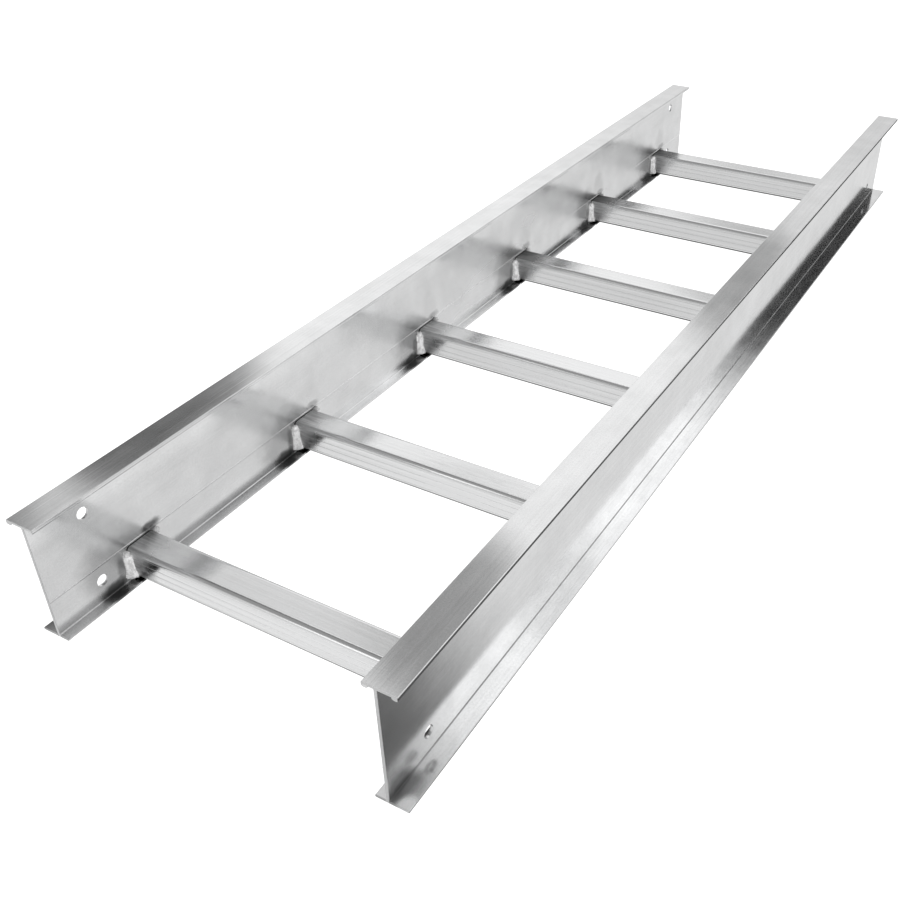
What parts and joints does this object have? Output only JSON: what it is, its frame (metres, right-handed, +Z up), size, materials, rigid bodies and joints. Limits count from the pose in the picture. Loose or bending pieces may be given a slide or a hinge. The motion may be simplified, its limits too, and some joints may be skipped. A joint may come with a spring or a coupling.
{
  "type": "cable ladder section",
  "caption": "Straight cable ladder section: I-section side rails joined by welded rectangular tube rungs, with splice holes at the rail ends.",
  "frame": {"origin": "under the middle of the ladder, on the plane of the bottom flanges' undersides", "axes": "+X across the ladder towards the right rail, +Y along the rails, +Z up from the bottom flanges to the top flanges"},
  "size_m": [0.3404, 1.219, 0.108],
  "materials": {
    "rail_aluminium": "mill finish extruded aluminium, satin, with soft die streaks along the rail and handling marks",
    "rung_aluminium": "mill finish extruded aluminium, brighter than the rails, fluted sides",
    "weld_metal": "as-welded aluminium filler, whitish, rippled and a little rough"
  },
  "bodies": {
    "root": {"side_rail_left": "rail_aluminium", "side_rail_right": "rail_aluminium", "rung_1": "rung_aluminium", "rung_2": "rung_aluminium", "rung_3": "rung_aluminium", "rung_4": "rung_aluminium", "rung_5": "rung_aluminium", "rung_6": "rung_aluminium", "rung_welds_1": "weld_metal", "rung_welds_2": "weld_metal", "rung_welds_3": "weld_metal", "rung_welds_4": "weld_metal", "rung_welds_5": "weld_metal", "rung_welds_6": "weld_metal"}
  },
  "joints": []
}
